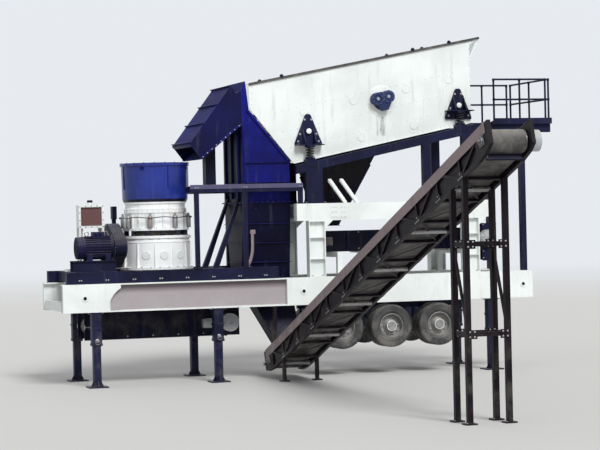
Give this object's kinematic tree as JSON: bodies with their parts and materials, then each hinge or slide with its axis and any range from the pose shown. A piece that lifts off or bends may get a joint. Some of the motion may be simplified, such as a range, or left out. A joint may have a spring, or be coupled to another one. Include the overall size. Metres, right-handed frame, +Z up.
{
  "type": "portable cone crushing and screening plant",
  "caption": "Cone crusher and inclined vibrating screen on one chassis with legs and idle road axles, with hood, chute, portal frame, feed platform and a rising side discharge conveyor.",
  "frame": {"origin": "middle of the whole plant's box, on the ground", "axes": "+X along the chassis from the crusher end to the feed platform, +Y away from the side conveyor, +Z up"},
  "size_m": [12, 15.869, 7.9573],
  "materials": {
    "white_paint": "semi-gloss, dusty",
    "navy_paint": "semi-gloss",
    "dark_paint": "satin",
    "spring_steel": "satin",
    "worn_steel": "worn, dull",
    "cast_steel": "rough",
    "tyre": "matte",
    "belt_rubber": "matte, dusty",
    "cooler_core": "matte",
    "drive_paint": "satin, dusty",
    "conveyor_paint": "satin, dusty top"
  },
  "bodies": {
    "root": {"girder_near": "white_paint", "girder_far": "white_paint", "cross_members": "white_paint", "support_legs": "dark_paint", "leg_feet": "dark_paint", "axle_group": "dark_paint", "tyres": "tyre", "wheel_rims": "worn_steel", "skid_rails": "dark_paint", "skid_crossbeams": "dark_paint", "crusher_frame": "white_paint", "pinion_housing": "white_paint", "spring_packs": "dark_paint", "adjustment_ring": "white_paint", "crushing_head": "cast_steel", "feed_drum": "navy_paint", "drive_sheaves": "cast_steel", "drive_belts": "belt_rubber", "belt_guard": "dark_paint", "drive_motor": "navy_paint", "motor_base": "dark_paint", "oil_cooler": "cooler_core", "cooler_stand": "white_paint", "walkway_deck": "dark_paint", "walkway_posts": "dark_paint", "chute_sides": "navy_paint", "chute_ends": "navy_paint", "chute_spout": "navy_paint", "hood_sides": "navy_paint", "hood_plates": "navy_paint", "portal_columns": "white_paint", "portal_beams": "white_paint", "portal_crossbars": "white_paint", "hopper_braces": "white_paint", "subframe_posts": "dark_paint", "subframe_beams": "dark_paint", "coil_springs": "spring_steel", "spring_brackets": "dark_paint", "screen_side_near": "white_paint", "screen_side_far": "white_paint", "screen_decks": "worn_steel", "screen_tubes": "worn_steel", "feed_box": "white_paint", "exciter": "navy_paint", "screen_hopper": "dark_paint", "feed_platform": "dark_paint", "platform_rails": "dark_paint", "belt_frames": "navy_paint", "under_belts": "belt_rubber", "fines_hood": "dark_paint", "gearmotors": "drive_paint", "side_trusses": "conveyor_paint", "truss_crossbars": "conveyor_paint", "side_belt": "belt_rubber", "conveyor_rollers": "worn_steel", "conveyor_trestle": "conveyor_paint"}
  },
  "joints": []
}
